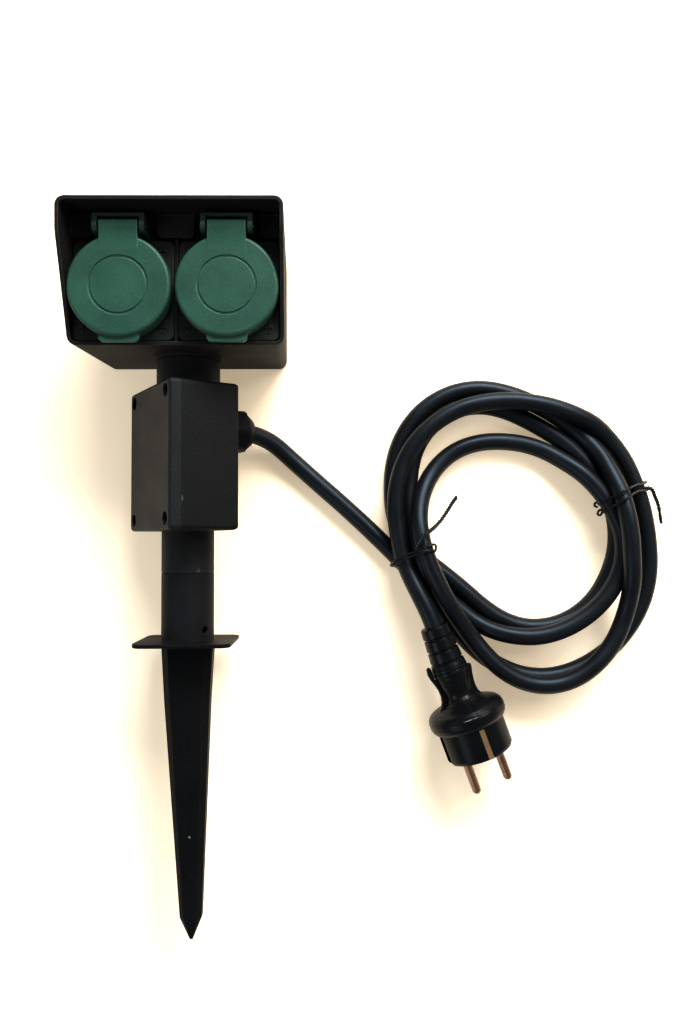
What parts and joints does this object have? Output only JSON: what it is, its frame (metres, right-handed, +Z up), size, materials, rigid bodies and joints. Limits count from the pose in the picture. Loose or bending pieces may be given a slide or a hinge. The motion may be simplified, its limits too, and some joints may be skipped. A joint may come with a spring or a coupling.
{
  "type": "garden socket spike",
  "caption": "Ground-spike outdoor power outlet: hooded head with round earthed sockets under spring lids on a swivelling neck, junction box, push-fit spike, coiled cord with plug.",
  "frame": {"origin": "bottom centre of the bounding box of the object without its cord, as it lies on its back", "axes": "+X to the right across the head, +Y from the spike's tip to the head, +Z up, out of the outlets"},
  "size_m": [0.3195, 0.3702, 0.0879],
  "materials": {
    "shell_black": "fine textured matt black, paler worn edges",
    "back_black": "plain matt black moulding",
    "box_black": "fine textured matt black",
    "cover_black": "fine textured matt black",
    "spike_black": "smooth satin black with paler bevels",
    "frame_grey": "dark grey-green matt moulding",
    "bracket_black": "satin black moulding",
    "lid_green": "muted mid green, satin",
    "seal_rubber": "matt black seal",
    "block_nylon": "natural off-white nylon",
    "ring_nylon": "natural nylon",
    "terminal_brass": "bright brass",
    "earth_brass": "bright stamped strip",
    "screw_steel": "zinc plated, slightly dull",
    "cover_screw_steel": "dull steel in deep recesses",
    "hinge_steel": "bright drawn wire",
    "core_insulation": "smooth insulated cores",
    "gland_black": "satin black nylon",
    "cord_rubber": "satin black rubber sheath",
    "plug_rubber": "satin black moulded rubber",
    "pin_nickel": "warm nickel plate",
    "clip_nickel": "plated strip",
    "tie_wire": "black coated wire"
  },
  "bodies": {
    "column": {"junction_base": "box_black", "cover_gasket": "seal_rubber", "junction_cover": "cover_black", "cover_screws": "cover_screw_steel", "neck_ring": "ring_nylon", "neck_seal": "seal_rubber", "terminal_block": "block_nylon", "terminal_screws": "terminal_brass", "supply_cores": "core_insulation", "riser_cable": "cord_rubber", "gland_body": "gland_black", "gland_nut": "gland_black", "gland_seal": "seal_rubber", "gland_locknut": "gland_black", "cord_lead": "cord_rubber", "cord_coil": "cord_rubber", "cord_tail": "cord_rubber", "plug_boot": "plug_rubber", "plug_body": "plug_rubber", "plug_pins": "pin_nickel", "plug_earth_clips": "clip_nickel", "coil_tie_left": "tie_wire", "coil_tie_right": "tie_wire"},
    "head": {"head_housing": "shell_black", "head_back": "back_black", "head_back_screws": "screw_steel", "head_link_wires": "core_insulation", "riser_tail": "core_insulation", "socket_frame_left": "frame_grey", "socket_gasket_left": "seal_rubber", "contact_base_left": "block_nylon", "live_sleeves_left": "terminal_brass", "earth_yoke_left": "earth_brass", "socket_screws_left": "screw_steel", "hinge_frame_left": "bracket_black", "hinge_pin_left": "hinge_steel", "lid_spring_left": "hinge_steel", "socket_frame_right": "frame_grey", "socket_gasket_right": "seal_rubber", "contact_base_right": "block_nylon", "live_sleeves_right": "terminal_brass", "earth_yoke_right": "earth_brass", "socket_screws_right": "screw_steel", "hinge_frame_right": "bracket_black", "hinge_pin_right": "hinge_steel", "lid_spring_right": "hinge_steel"},
    "left_lid": {"lid_left": "lid_green", "lid_seal_left": "seal_rubber"},
    "right_lid": {"lid_right": "lid_green", "lid_seal_right": "seal_rubber"},
    "ground_spike": {"spike": "spike_black"}
  },
  "joints": [
    {"name": "head_swivel", "type": "hinge", "parent": "column", "child": "head", "pos_m": [0, 0.1198, 0.0327], "axis": [0, 1, 0], "range_deg": [-148.7, 31.3]},
    {"name": "left_lid_hinge", "type": "hinge", "parent": "head", "child": "left_lid", "pos_m": [-0.02605, 0.174, 0.077], "axis": [-1, 0, 0], "range_deg": [0, 105], "stiffness_Nm_per_rad": 0.01, "springref_deg": -34.38},
    {"name": "right_lid_hinge", "type": "hinge", "parent": "head", "child": "right_lid", "pos_m": [0.02605, 0.174, 0.077], "axis": [-1, 0, 0], "range_deg": [0, 105], "stiffness_Nm_per_rad": 0.01, "springref_deg": -34.38},
    {"name": "spike_pull", "type": "slide", "parent": "column", "child": "ground_spike", "axis": [0, -1, 0], "range_m": [0, 0.028]}
  ]
}
